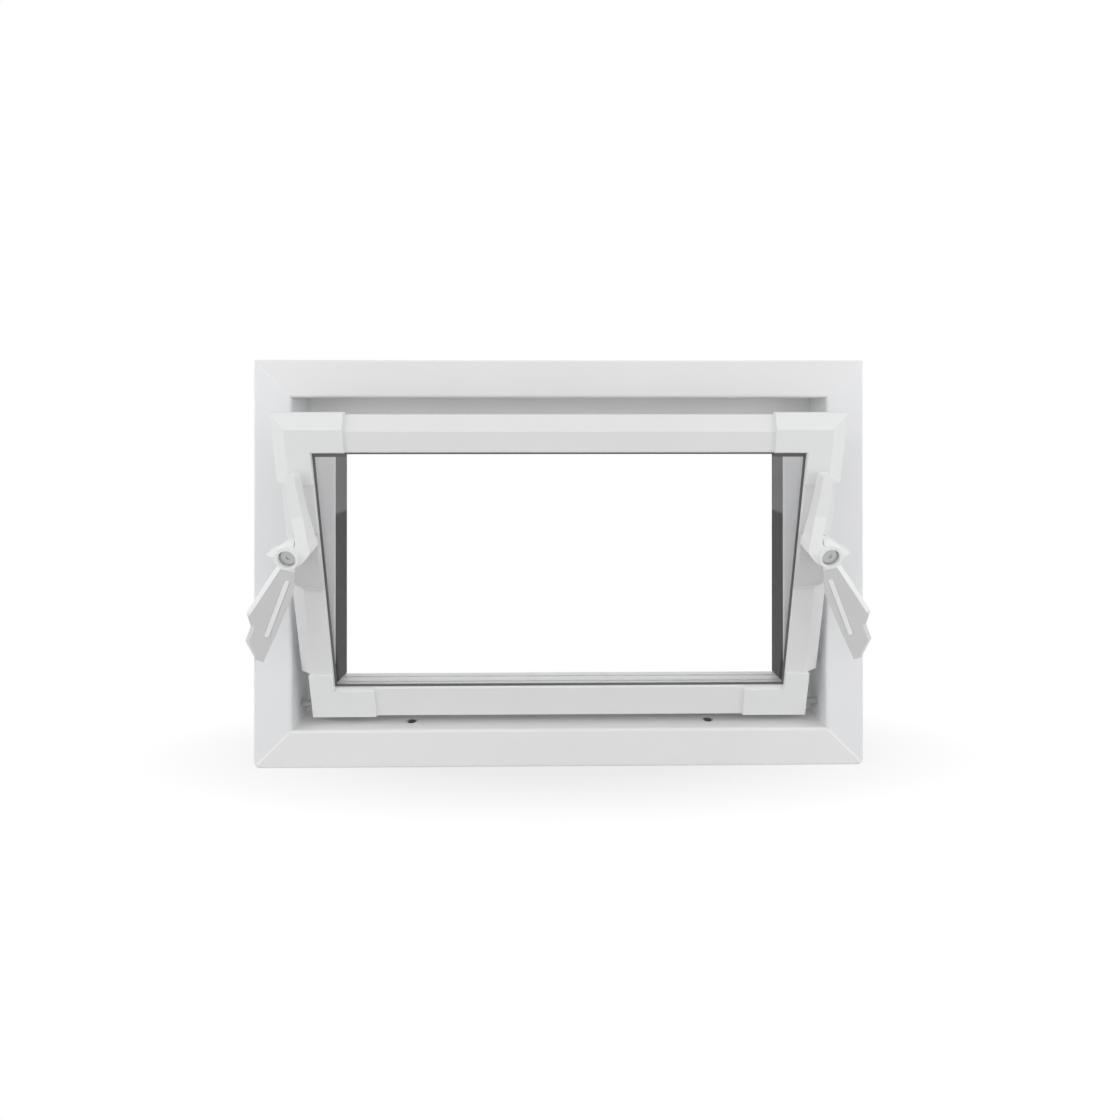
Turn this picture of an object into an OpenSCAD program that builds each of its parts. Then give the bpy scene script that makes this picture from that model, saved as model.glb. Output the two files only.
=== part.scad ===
// Tilting caravan window: a white frame, a bottom hinged sash and two notched stay levers.
// Millimetres. X across, Y from the room side out, Z up from the frame's underside.
// The sash is drawn closed and then tilted into the room by sash_tilt about its pins.

/* [Frame] */
// Width of the whole frame
frame_width = 600; // [480:1:800]
// Height of the whole frame
frame_height = 400; // [370:1:640]
// Depth of the frame from the room side to the outside
frame_depth = 70; // [66:1:90]
// Width of the face that shows round the sash
face_width = 36.8; // [34:0.1:48]
// Depth of the rebate that takes the sash
rebate_depth = 40; // [38:0.5:42]
// How far the stop behind the sash stands into the opening
stop_height = 29; // [22:0.1:30]
// Rounding of the frame's outer and inner front edges
edge_round = 2; // [1:0.5:3]
// Small cut off each outer corner of the frame at the bottom
corner_cut = 5.25; // [1.25:0.5:5.75]
// Small cut off each outer corner of the frame at the top
top_corner_cut = 1.75; // [1.25:0.5:5.75]
// Width of the two grooves that run round the stop's inner face
stop_groove_width = 3; // [2:0.5:4]
// Depth of the two grooves in the stop's inner face
stop_groove_depth = 1.5; // [1:0.5:2]
// Place of the first groove, as a share of the stop's depth
stop_groove_start = 0.17; // [0.14:0.01:0.22]
// Distance between the two grooves, as a share of the stop's depth
stop_groove_pitch = 0.42; // [0.3:0.01:0.45]

/* [Fixing holes] */
// Distance between the two fixing holes in the bottom rail
fixing_spacing = 300; // [200:1:340]
// Diameter of a fixing hole
fixing_bore = 12; // [8:0.5:14]
// Distance of the fixing holes from the room side
fixing_inset = 20; // [14:0.5:26]

/* [Sash] */
// Angle that the sash leans into the room
sash_tilt = 13.8; // [4:0.1:14]
// Depth from the frame's room side to the closed sash's face
sash_setback = 11.3; // [10:0.1:14]
// Thickness of the sash from its room side to its outside
sash_thickness = 23; // [21:0.5:23]
// Gap at the sides and the top between the corner pieces and the frame
sash_gap = 5.2; // [5:0.1:7]
// Gap under the corner pieces at the bottom
foot_gap = 8.4; // [7:0.1:9.5]
// Width of a sash rail across its face and flank
rail_width = 33.3; // [30:0.1:36]
// Width of the sloped flank along a rail's outer side
flank_width = 13.7; // [10:0.1:16]
// Depth that the sloped flank falls back
flank_drop = 7; // [5:0.1:9]
// Depth from a rail's face to the back of its flange
flange_depth = 10; // [9.5:0.5:12]
// How far the rail's back is stepped in behind its flange
back_inset = 6; // [4:0.5:8]
// How far a corner piece stands proud of the rails
corner_proud = 2; // [1:0.1:3]
// Length of a top corner piece along each side
corner_leg = 65; // [55:0.5:75]
// Length of a bottom corner piece along the bottom
foot_leg = 62.5; // [54:0.5:70]
// Height of a bottom corner piece along the side
foot_rise = 50; // [42:0.5:60]
// How far the bottom corner pieces are set in at the sides for the bearings
foot_inset = 12; // [10:0.5:13]
// Bevel along the lower front edge of a bottom corner piece
foot_bevel = 3; // [1:0.5:4]
// How far the proud part of a bottom corner piece stays below the rail's inner edge
foot_step = 3.5; // [2:0.5:5]
// Bevel along the lower front edge of the bottom rail
rail_bevel = 1.5; // [1:0.5:3]

/* [Glazing] */
// Thickness of the glass
glass_thickness = 4; // [3:0.5:5]
// How deep the glass sits in the rails
glass_bite = 12; // [10:0.5:13]
// Depth of the rail's lip in front of the glass
lip_depth = 2; // [2:0.5:4]
// Thickness of the gasket on the room side of the glass
gasket_thickness = 1.5; // [1:0.5:2]
// How far the gasket shows beyond the rail's edge
gasket_show = 1.8; // [1:0.1:2.5]
// Thickness of the gasket on the outside of the glass
back_gasket = 1; // [1:0.5:1.5]
// How far the glazing beads stay below the rail's inner edge
bead_drop = 5; // [3:0.5:6]
// Clearance between the glass and the bottom of its groove
glass_clearance = 3; // [2:0.5:4]

/* [Hinge] */
// Height of the pins above the underside of the closed sash
pin_height = 8; // [7:0.5:9]
// Distance of the pins behind the sash's face
pin_setback = 12.7; // [11.5:0.1:13.5]
// Diameter of a hinge pin
pin_diameter = 6; // [5:0.5:7]
// Clearance round a pin in its bearing
pin_clearance = 0.06; // [0.02:0.01:0.1]
// How deep a pin is pressed into its corner piece
pin_grip = 16; // [10:1:20]
// Outer radius of the bush in the jamb that a pin turns in
bush_radius = 6; // [5:0.5:7]
// How deep a bush sits in its jamb
bush_depth = 9; // [6:0.5:12]

/* [Levers] */
// Distance from the end of the top corner piece down to the lever's turning point
lever_drop = 60; // [40:0.5:68]
// Distance of the turning point in from the side of the sash
lever_inset = 16; // [12:0.5:18]
// Thickness of the base plate on the stile
base_thickness = 6; // [5:0.5:7]
// Length of the base plate below the turning point
base_drop = 43; // [30:1:46]
// Slope of the lower part of the base plate's front
base_slope = 9; // [0:1:12]
// Radius of the boss at the turning point
ring_radius = 10.6; // [10:0.1:12]
// Height of the boss above the sash's face
ring_height = 28; // [26:0.5:32]
// Radius of the round recess in the boss
recess_radius = 8; // [6.5:0.1:8.2]
// Depth of the round recess in the boss
recess_depth = 6; // [4:0.5:8]
// Radius of the post that the lever turns on
post_radius = 3.5; // [2.5:0.1:4]
// Clearance between the lever and its post
post_clearance = 0.06; // [0.02:0.01:0.1]
// Gap between the lever and its base plate
lever_gap = 0.4; // [0.3:0.1:0.6]
// Length of the stay arm from the turning point to its tail
arm_length = 111; // [100:1:116]
// Thickness of the stay arm
arm_thickness = 5; // [4:0.5:6]
// Height of the arm's front above the sash's face, at the turning point
arm_rise = 27.7; // [27.5:0.1:31]
// Angle of the arm away from the stile
arm_angle = 24; // [18:0.5:28]
// Turn of the arm's face towards the middle of the window
arm_cant = 18; // [0:1:20]
// Distance from the arm's centre line to its straight inner edge
arm_inner = 14.5; // [13:0.5:17]
// Distance from the arm's centre line to the tip of the first tooth
tooth_reach = 15.5; // [10:0.5:16]
// Distance of the first tooth from the turning point
tooth_start = 62; // [50:1:64]
// Length of the step below the first tooth
tooth_length = 12.5; // [9:0.5:15]
// Distance from the arm's centre line to the outer edge below the first tooth
second_reach = 8.3; // [5:0.1:9]
// Distance of the second tooth from the turning point
second_tooth = 93; // [84:1:96]
// Width of the slot along the arm
slot_width = 5; // [4:0.5:7]
// Distance of the slot's upper end from the turning point
slot_start = 21; // [17:0.5:24]
// Length of the slot along the arm
slot_length = 63; // [40:1:66]
// Width of the bevel along the arm's toothed edge
tooth_bevel = 3; // [1:0.5:3.5]
// Width of the grip bar near its top
grip_width = 9; // [8:0.5:10]
// Height of the grip bar's front above the sash's face
grip_rise = 20; // [18:0.5:22]
// Gap between the grip bar's back and the sash's face
grip_gap = 7.2; // [7.2:0.1:8]
// Length of the grip bar above the turning point
grip_length = 74; // [60:1:76]
// How far the hook of the grip stands out beside the boss
hook_reach = 9; // [7:0.5:10]
// How far the hook's front stays below the boss
hook_drop = 1; // [0.5:0.5:2]
// Width of the rim along the base plate's lower edge
base_rim = 1.6; // [1:0.2:2.4]

/* [Seal] */
// Thickness of the seal on the sash's back
seal_thickness = 4.6; // [3:0.1:4.6]
// Width of the seal on the sash's back
seal_width = 7; // [5:0.5:8]

/* [Hidden] */
$fn = 48;
room_y = -frame_depth / 2;
stop_y = room_y + rebate_depth;
stop_depth = frame_depth - rebate_depth;
out_y = frame_depth / 2;
half_width = frame_width / 2;
open_half = half_width - face_width;
border = face_width + stop_height;
sash_half = open_half - sash_gap;
sash_low = face_width + foot_gap;
sash_high = frame_height - face_width - sash_gap;
sash_y = room_y + sash_setback;
rail_half = sash_half - corner_proud;
rail_low = sash_low + corner_proud;
rail_high = sash_high - corner_proud;
foot_half = sash_half - foot_inset;
pin_y = sash_y + pin_setback;
pin_z = sash_low + pin_height;
pane_y = lip_depth + gasket_thickness;
back_face = pane_y + glass_thickness;
bead_y = back_face + back_gasket;
groove_edge = rail_width - glass_bite;
groove_floor = groove_edge - glass_clearance;
bead_edge = groove_edge - 4;
glass_half = rail_half - groove_edge;
glass_low = rail_low + groove_edge;
glass_high = rail_high - groove_edge;
lever_x = sash_half - lever_inset;
lever_z = sash_high - corner_leg - lever_drop;
beyond = frame_width + frame_height;

white = [0.93, 0.94, 0.94];
moulded = [0.96, 0.96, 0.96];
dark = [0.12, 0.12, 0.13];
steel = [0.7, 0.71, 0.72];
clear = [0.75, 0.88, 0.9, 0.35];

// Turns the closed sash into the pose that it rests in
module tilted() {
    translate([0, pin_y, pin_z])
        rotate([sash_tilt, 0, 0])
            translate([0, -pin_y, -pin_z])
                children();
}

// Draws a section, given as depth and height, along X
module along_x(length) {
    translate([-length / 2, 0, 0])
        rotate([90, 0, 90])
            linear_extrude(length)
                children();
}

// A bar along X with both ends cut at 45 degrees for a mitred ring
module mitred(length, tall) {
    intersection() {
        along_x(length)
            children();
        rotate([90, 0, 0])
            linear_extrude(beyond, center = true)
                polygon([[-length / 2, 0], [length / 2, 0],
                         [length / 2 - tall, tall], [tall - length / 2, tall]]);
    }
}

// Places a bar of the bottom side on one of the four sides of a ring
module on_side(side, half, low, high) {
    if (side == "bottom")
        translate([0, 0, low])
            children();
    if (side == "top")
        translate([0, 0, high])
            mirror([0, 0, 1])
                children();
    if (side == "left")
        translate([-half, 0, (low + high) / 2])
            rotate([0, 90, 0])
                children();
    if (side == "right")
        translate([half, 0, (low + high) / 2])
            mirror([1, 0, 0])
                rotate([0, 90, 0])
                    children();
}

// Section of the frame: a face, a rebate for the sash and a stop behind it
module frame_section() {
    r = edge_round;
    polygon([[room_y + r, 0], [room_y + 0.3 * r, 0.3 * r], [room_y, r],
             [room_y, face_width - r], [room_y + 0.3 * r, face_width - 0.3 * r],
             [room_y + r, face_width],
             [stop_y, face_width], [stop_y, border - r / 2], [stop_y + r / 2, border],
             for (g = [0, 1], p = [[0, 0], [0, -1], [1, -1], [1, 0]])
                 [stop_y + (stop_groove_start + g * stop_groove_pitch) * stop_depth
                  + p[0] * stop_groove_width, border + p[1] * stop_groove_depth],
             [out_y - r, border], [out_y, border - r], [out_y, 0]]);
}

module frame_bar(side) {
    upright = side == "left" || side == "right";
    color(white)
        difference() {
            on_side(side, half_width, 0, frame_height)
                mitred(upright ? frame_height : frame_width, border + 1)
                    frame_section();
            for (sx = [-1, 1])
                for (end = [[0, corner_cut], [frame_height, top_corner_cut]])
                    translate([sx * half_width, 0, end[0]])
                        rotate([0, 45, 0])
                            cube([end[1] * sqrt(2), frame_depth + 2, end[1] * sqrt(2)], center = true);
            if (upright)
                on_side(side, open_half, 0, 2 * pin_z)
                    translate([0, pin_y, 1 - bush_depth])
                        cylinder(r = bush_radius, h = bush_depth + 1);
            if (side == "bottom")
                for (s = [-1, 1])
                    translate([s * fixing_spacing / 2, room_y + fixing_inset, -1])
                        cylinder(r = fixing_bore / 2, h = face_width + 2);
        }
}

// Section of a sash rail with a sloped flank and a lip in front of the glass groove
module rail_section(proud, flank, drop) {
    polygon([[sash_y + drop - proud, -proud], [sash_y - proud, flank - proud],
             [sash_y - proud, rail_width - 1], [sash_y - proud + 1, rail_width],
             [sash_y + lip_depth, rail_width],
             [sash_y + lip_depth, groove_floor], [sash_y + bead_y, groove_floor],
             [sash_y + bead_y, bead_edge], [sash_y + sash_thickness, bead_edge],
             [sash_y + sash_thickness, back_inset], [sash_y + flange_depth + 4, back_inset],
             [sash_y + flange_depth, -proud]]);
}

module sash_bar_x(side) {
    color(white)
        tilted()
            on_side(side, rail_half, rail_low, rail_high)
                intersection() {
                    along_x(2 * rail_half)
                        rail_section(0, side == "top" ? flank_width : rail_bevel,
                                     side == "top" ? flank_drop : rail_bevel);
                    length = side == "top" ? 2 * (sash_half - corner_leg) : 2 * (foot_half - foot_leg);
                    cube([length, beyond, beyond], center = true);
                }
}

module sash_bar_z(side) {
    low = sash_low + foot_rise;
    high = sash_high - corner_leg;
    color(white)
        tilted()
            translate([side * rail_half, 0, (low + high) / 2])
                mirror([side == 1 ? 1 : 0, 0, 0])
                    rotate([0, 90, 0])
                        along_x(high - low)
                            rail_section(0, flank_width, flank_drop);
}

// Moulded corner piece at the top of the sash, with two equal mitred legs
module top_corner(side) {
    wide = rail_width + corner_proud;
    color(moulded)
        tilted()
            mirror([side == 1 ? 1 : 0, 0, 0])
                translate([-sash_half, 0, sash_high])
                    mirror([0, 0, 1]) {
                        intersection() {
                            translate([corner_leg, 0, corner_proud])
                                along_x(2 * corner_leg)
                                    rail_section(corner_proud, flank_width, flank_drop);
                            rotate([90, 0, 0])
                                linear_extrude(beyond, center = true)
                                    polygon([[0, 0], [corner_leg, 0], [corner_leg, wide], [wide, wide]]);
                        }
                        intersection() {
                            translate([corner_proud, 0, corner_leg])
                                rotate([0, 90, 0])
                                    along_x(2 * corner_leg)
                                        rail_section(corner_proud, flank_width, flank_drop);
                            rotate([90, 0, 0])
                                linear_extrude(beyond, center = true)
                                    polygon([[0, 0], [wide, wide], [wide, corner_leg], [0, corner_leg]]);
                        }
                    }
}

// A box through the sash, inside a line at the given distance from the rails' outer edge
module inside_line(edge, from_y, to_y) {
    translate([edge - rail_half, sash_y + from_y, rail_low + edge])
        cube([2 * (rail_half - edge), to_y - from_y, rail_high - rail_low - 2 * edge]);
}

// Flat faced corner piece at the bottom of the sash, bored for its hinge pin
module bottom_corner(side) {
    front = sash_y - corner_proud;
    color(moulded)
        tilted()
            mirror([side == 1 ? 1 : 0, 0, 0])
                difference() {
                    intersection() {
                        translate([0, sash_y + sash_thickness, 0])
                            rotate([90, 0, 0])
                                linear_extrude(sash_thickness + corner_proud)
                                    polygon([[-foot_half, sash_low], [foot_leg - foot_half, sash_low],
                                             [foot_leg - foot_half, rail_low + rail_width],
                                             [rail_width - rail_half, rail_low + rail_width],
                                             [rail_width - rail_half, sash_low + foot_rise],
                                             [-foot_half, sash_low + foot_rise]]);
                        translate([0, 0, sash_low])
                            along_x(beyond)
                                polygon([[front, foot_bevel], [front + 5, 0], [sash_y + flange_depth, 0],
                                         [sash_y + flange_depth + 4, back_inset],
                                         [sash_y + sash_thickness, back_inset],
                                         [sash_y + sash_thickness, beyond], [front, beyond]]);
                    }
                    translate([rail_width - rail_half, front - 1, rail_low + rail_width - foot_step])
                        cube([foot_leg, corner_proud + 1, foot_rise]);
                    inside_line(groove_floor, lip_depth, bead_y);
                    inside_line(bead_edge, bead_y - 0.5, sash_thickness + 1);
                    translate([-foot_half - 1, pin_y, pin_z])
                        rotate([0, 90, 0])
                            cylinder(r = pin_diameter / 2, h = pin_grip + 1);
                }
}

// Bush in the jamb that a hinge pin turns in
module hinge_bush(side) {
    color(moulded)
        mirror([side == 1 ? 1 : 0, 0, 0])
            translate([1 - open_half - bush_depth, pin_y, pin_z])
                rotate([0, 90, 0])
                    difference() {
                        cylinder(r = bush_radius, h = bush_depth - 1);
                        translate([0, 0, -1])
                            cylinder(r = pin_diameter / 2 + pin_clearance, h = bush_depth + 10);
                    }
}

module hinge_pin(side) {
    start = open_half + bush_depth - 2;
    color(steel)
        tilted()
            mirror([side == 1 ? 1 : 0, 0, 0])
                translate([-start, pin_y, pin_z])
                    rotate([0, 90, 0])
                        cylinder(r = pin_diameter / 2, h = start - foot_half + pin_grip);
}

// Rubber seal ring on the back of the sash, which closes against the stop
module sash_seal() {
    from_t = back_inset + 2;
    back = sash_y + sash_thickness;
    color(dark)
        tilted()
            for (side = ["bottom", "top", "left", "right"])
                on_side(side, rail_half - from_t, rail_low + from_t, rail_high - from_t)
                    mitred((side == "left" || side == "right" ? rail_high - rail_low : 2 * rail_half)
                           - 2 * from_t, seal_width)
                        polygon([[back, 0], [back, seal_width],
                                 [back + seal_thickness / 2, seal_width],
                                 [back + seal_thickness, seal_width * 0.6],
                                 [back + seal_thickness, seal_width * 0.4],
                                 [back + seal_thickness / 2, 0]]);
}

// The glass, sunk into the rails all round
module pane() {
    color(clear)
        tilted()
            translate([-glass_half, sash_y + pane_y, glass_low])
                cube([2 * glass_half, glass_thickness, glass_high - glass_low]);
}

// A rubber gasket ring on the glass, from one depth to another and out to a line in the rails
module gasket(from_y, to_y, inner) {
    color(dark)
        tilted()
            difference() {
                inside_line(groove_edge, from_y, to_y);
                inside_line(inner, from_y - 1, to_y + 1);
            }
}

// Glazing bead, sloped back so that it hides behind the rail's inner edge
module bead(side) {
    upright = side == "left" || side == "right";
    length = upright ? rail_high - rail_low : 2 * rail_half;
    tall = rail_width - bead_drop - bead_edge;
    color(white)
        tilted()
            on_side(side, rail_half - bead_edge, rail_low + bead_edge, rail_high - bead_edge)
                mitred(length - 2 * bead_edge, tall)
                    polygon([[sash_y + bead_y, 0], [sash_y + sash_thickness, 0],
                             [sash_y + sash_thickness, 2], [sash_y + bead_y + 2, tall],
                             [sash_y + bead_y, tall]]);
}

// Places a lever's pieces: X and Y along the sash, Z out of its face into the room
module at_lever(side) {
    tilted()
        mirror([side == 1 ? 1 : 0, 0, 0])
            translate([-lever_x, sash_y, lever_z])
                rotate([90, 0, 0])
                    children();
}

// Plate on the stile that carries the lever, seated on the stile's face and flank
module lever_base(side) {
    edge = lever_x - rail_half + rail_width;
    color(moulded)
        at_lever(side)
            difference() {
                intersection() {
                    translate([0, 0, -flank_drop - 1])
                        linear_extrude(base_thickness + flank_drop + 1)
                            union() {
                                circle(r = ring_radius);
                                polygon([[-9.5, -3], [-9.5, 8 - base_drop], [-5, 2.5 - base_drop],
                                         [3, -0.5 - base_drop], [edge, -1.5 - base_drop],
                                         [edge, 13], [9, 5]]);
                            }
                    translate([lever_x - rail_half, 0, 0])
                        rotate([90, 0, 0])
                            linear_extrude(beyond, center = true)
                                polygon([[0, -flank_drop], [flank_width, 0], [rail_width, 0],
                                         [rail_width, 50], [0, 50]]);
                }
                translate([0, 0, -flank_drop - 2])
                    cylinder(r = post_radius + 0.01, h = 40);
                difference() {
                    translate([0, -12, base_thickness])
                        rotate([base_slope, 0, 0])
                            translate([-50, -60, 0])
                                cube([100, 60, 20]);
                    translate([0, 0, -1])
                        linear_extrude(4)
                            polygon([[-9.5, 8 - base_drop], [-5, 2.5 - base_drop],
                                     [3, -0.5 - base_drop], [edge, -1.5 - base_drop],
                                     [edge, base_rim - 1.5 - base_drop],
                                     [3.5, base_rim - 0.5 - base_drop],
                                     [-4, base_rim + 2.5 - base_drop],
                                     [-9.5, base_rim + 9 - base_drop]]);
                }
            }
}

// Screw and post that a lever turns on, seated in the base plate
module lever_screw(side) {
    seat = ring_height - recess_depth + 0.3;
    head = recess_radius - 1;
    color(steel)
        at_lever(side)
            difference() {
                union() {
                    cylinder(r = post_radius, h = seat + 1);
                    translate([0, 0, seat])
                        cylinder(r = head, h = 2);
                }
                translate([0, 0, seat + 1])
                    cylinder(r = 2.2, h = 5, $fn = 6);
            }
}

// Outline of the stay arm, hanging from the turning point with its teeth on the left
module arm_outline() {
    difference() {
        polygon([[-2, 4], [-tooth_reach, -tooth_start],
                 [-second_reach, -tooth_start - tooth_length],
                 [-second_reach, -second_tooth],
                 [arm_inner - 11, 2 - arm_length], [arm_inner - 2, -arm_length],
                 [arm_inner, -arm_length * 0.72], [arm_inner + 1.5, -34], [8, -3]]);
        translate([arm_inner / 2, -slot_start - slot_width / 2]) {
            circle(r = slot_width / 2);
            translate([0, slot_width - slot_length])
                circle(r = slot_width / 2);
            translate([-slot_width / 2, slot_width - slot_length])
                square([slot_width, slot_length - slot_width]);
        }
    }
}

// Takes a 45 degree bevel off the front of the arm along a line between two outline points
module bevel_cut(from, to) {
    length = norm(to - from);
    translate([from[0], from[1], arm_thickness])
        rotate([0, 0, atan2(to[1] - from[1], to[0] - from[0])])
            rotate([45, 0, 0])
                translate([-0.6, -12, -tooth_bevel * 0.7071])
                    cube([length + 0.9, 24, 12]);
}

// The stay arm: slotted, toothed, canted about its length and held off the frame's face
module stay_arm() {
    translate([0, 0, arm_rise])
        rotate([0, 0, -arm_angle])
            rotate([0, arm_cant, 0])
                translate([0, 0, -arm_thickness])
                    difference() {
                        linear_extrude(arm_thickness)
                            arm_outline();
                        bevel_cut([-2, 4], [-tooth_reach, -tooth_start]);
                        bevel_cut([-second_reach, -tooth_start - tooth_length],
                                  [-second_reach, -second_tooth]);
                        bevel_cut([-second_reach, -second_tooth], [arm_inner - 11, 2 - arm_length]);
                    }
}

// Grip bar, which hooks out of the boss on the inner side and rises beside it
module grip_bar() {
    side = ring_radius + hook_reach;
    intersection() {
        linear_extrude(ring_height)
            polygon([[2, 8], [6.4, 9.6], [7.8, 12.4], [7.6, 19], [5.8, 28], [4, 36],
                     [2.6, grip_length - 20],
                     [2, grip_length - 1.5], [3, grip_length], [grip_width + 1, grip_length],
                     [grip_width + 2, grip_length - 1.5], [grip_width + 3.8, grip_length - 22],
                     [15.2, 35], [16.9, 25], [side - 1.2, 16], [side + 0.4, 10], [side + 0.6, 4.5],
                     [side - 1.6, 0.8], [side - 5, -3], [9.6, -7.2], [2, -10.4], [0, 0]]);
        rotate([90, 0, 90])
            linear_extrude(beyond, center = true)
                polygon([[-20, grip_gap], [-20, ring_height - hook_drop], [3, ring_height - hook_drop],
                         [36, grip_rise], [beyond, grip_rise], [beyond, grip_gap]]);
    }
}

// Thumb rest on the outer side of the boss, sloped back towards its upper edge
module thumb_rest() {
    intersection() {
        linear_extrude(ring_height)
            polygon([[-18, 4], [-10, 8.2], [-5, 11.6], [0, 14.4], [5.6, 15.6], [5, 6], [-7, -2]]);
        rotate([90, 0, 90])
            linear_extrude(beyond, center = true)
                polygon([[-5, 14], [-5, ring_height - 1], [2, ring_height - 1],
                         [17, ring_height - 8], [17, 14]]);
    }
}

// Lever: a boss with a round recess, a grip bar curving up from it and the stay arm
module lever(side) {
    back = base_thickness + lever_gap;
    color(moulded)
        at_lever(side)
            difference() {
                union() {
                    translate([0, 0, back])
                        cylinder(r = ring_radius, h = ring_height - back);
                    stay_arm();
                    grip_bar();
                    thumb_rest();
                }
                translate([0, 0, back - 1])
                    cylinder(r = post_radius + post_clearance, h = ring_height);
                translate([0, 0, ring_height - recess_depth])
                    cylinder(r = recess_radius, h = 40);
            }
}

frame_bar("bottom");  // frame_bottom_rail
frame_bar("top");  // frame_top_rail
frame_bar("left");  // frame_left_jamb
frame_bar("right");  // frame_right_jamb
hinge_bush(-1);  // hinge_bush_left
hinge_bush(1);  // hinge_bush_right
sash_bar_x("bottom");  // sash_bottom_rail
sash_bar_x("top");  // sash_top_rail
sash_bar_z(-1);  // sash_left_stile
sash_bar_z(1);  // sash_right_stile
top_corner(-1);  // corner_top_left
top_corner(1);  // corner_top_right
bottom_corner(-1);  // corner_bottom_left
bottom_corner(1);  // corner_bottom_right
hinge_pin(-1);  // hinge_pin_left
hinge_pin(1);  // hinge_pin_right
sash_seal();
pane();  // glass_pane
gasket(lip_depth, pane_y, rail_width + gasket_show);  // gasket_room_side
gasket(back_face, bead_y, rail_width - bead_drop);  // gasket_outside
bead("bottom");  // bead_bottom
bead("top");  // bead_top
bead("left");  // bead_left
bead("right");  // bead_right
lever_base(-1);  // lever_base_left
lever_base(1);  // lever_base_right
lever(-1);  // lever_left
lever(1);  // lever_right
lever_screw(-1);  // lever_screw_left
lever_screw(1);  // lever_screw_right
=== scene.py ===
import math

import bmesh
import bpy
import mathutils
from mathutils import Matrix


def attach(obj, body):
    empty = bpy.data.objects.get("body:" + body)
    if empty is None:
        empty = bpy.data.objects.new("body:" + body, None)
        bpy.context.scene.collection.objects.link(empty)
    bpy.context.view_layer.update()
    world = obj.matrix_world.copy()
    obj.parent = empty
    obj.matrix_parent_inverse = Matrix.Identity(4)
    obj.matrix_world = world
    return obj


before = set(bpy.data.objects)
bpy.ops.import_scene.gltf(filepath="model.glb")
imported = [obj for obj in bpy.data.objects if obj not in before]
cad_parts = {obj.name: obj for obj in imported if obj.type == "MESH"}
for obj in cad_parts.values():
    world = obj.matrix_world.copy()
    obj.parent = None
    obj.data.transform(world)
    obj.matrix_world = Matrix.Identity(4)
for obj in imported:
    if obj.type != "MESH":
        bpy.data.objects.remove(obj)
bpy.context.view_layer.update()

# Camera. The window is seen square on from inside, at a height near its upper edge, with the
# picture's frame shifted down over it. The lens and the distance come from fitting the frame,
# its rebate and the leaning sash to the photograph.
picture = 1120
camera_data = bpy.data.cameras.new("view_camera")
camera_data.sensor_width = 36.0
camera_data.lens = 615.6 / picture * 36.0
camera_data.clip_start = 0.01
camera_data.shift_x = -0.0065
camera_data.shift_y = -0.1286
view_camera = bpy.data.objects.new("view_camera", camera_data)
view_camera.location = (0.0, -0.640, 0.345)
view_camera.rotation_euler = (math.radians(90.0), 0.0, math.radians(-0.66))
bpy.context.scene.collection.objects.link(view_camera)
bpy.context.scene.camera = view_camera

# Studio. A pale floor carries the window, and the background is white only to the camera, to gloss
# and to glass, so that it puts no light of its own on the white profiles. Near the window the
# floor is part paper and part glow, which keeps the window's shadow on it.
bpy.context.scene.view_settings.view_transform = "Standard"
studio = bpy.data.worlds.new("studio")
bpy.context.scene.world = studio
studio.use_nodes = True
studio_nodes = studio.node_tree.nodes
studio_links = studio.node_tree.links
studio_nodes.clear()
studio_ray = studio_nodes.new("ShaderNodeLightPath")
studio_seen = studio_nodes.new("ShaderNodeMath")
studio_seen.operation = "MAXIMUM"
studio_links.new(studio_ray.outputs["Is Camera Ray"], studio_seen.inputs[0])
studio_links.new(studio_ray.outputs["Is Transmission Ray"], studio_seen.inputs[1])
studio_bare = studio_nodes.new("ShaderNodeMath")
studio_bare.operation = "MAXIMUM"
studio_links.new(studio_seen.outputs[0], studio_bare.inputs[0])
studio_links.new(studio_ray.outputs["Is Glossy Ray"], studio_bare.inputs[1])
studio_white = studio_nodes.new("ShaderNodeBackground")
studio_white.inputs["Color"].default_value = (1.0, 1.0, 1.0, 1.0)
studio_white.inputs["Strength"].default_value = 1.0
studio_fill = studio_nodes.new("ShaderNodeBackground")
studio_fill.inputs["Color"].default_value = (0.985, 0.99, 1.0, 1.0)
studio_fill.inputs["Strength"].default_value = 0.46
studio_mix = studio_nodes.new("ShaderNodeMixShader")
studio_out = studio_nodes.new("ShaderNodeOutputWorld")
studio_links.new(studio_bare.outputs[0], studio_mix.inputs[0])
studio_links.new(studio_fill.outputs[0], studio_mix.inputs[1])
studio_links.new(studio_white.outputs[0], studio_mix.inputs[2])
studio_links.new(studio_mix.outputs[0], studio_out.inputs["Surface"])

floor_shape = bmesh.new()
bmesh.ops.create_grid(floor_shape, x_segments=1, y_segments=1, size=4.0)
floor_mesh = bpy.data.meshes.new("studio_floor")
floor_shape.to_mesh(floor_mesh)
floor_shape.free()
studio_floor = bpy.data.objects.new("studio_floor", floor_mesh)
bpy.context.scene.collection.objects.link(studio_floor)
floor_finish = bpy.data.materials.new("studio_floor")
floor_finish.use_nodes = True
floor_nodes = floor_finish.node_tree.nodes
floor_links = floor_finish.node_tree.links
floor_paper = floor_nodes["Principled BSDF"]
floor_paper.inputs["Base Color"].default_value = (0.62, 0.62, 0.62, 1.0)
floor_paper.inputs["Roughness"].default_value = 0.9
floor_glow = floor_nodes.new("ShaderNodeEmission")
floor_glow.inputs["Color"].default_value = (1.0, 1.0, 1.0, 1.0)
floor_glow.inputs["Strength"].default_value = 1.0
floor_ray = floor_nodes.new("ShaderNodeLightPath")
floor_seen = floor_nodes.new("ShaderNodeMath")
floor_seen.operation = "MAXIMUM"
floor_bare = floor_nodes.new("ShaderNodeMath")
floor_bare.operation = "MAXIMUM"
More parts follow.
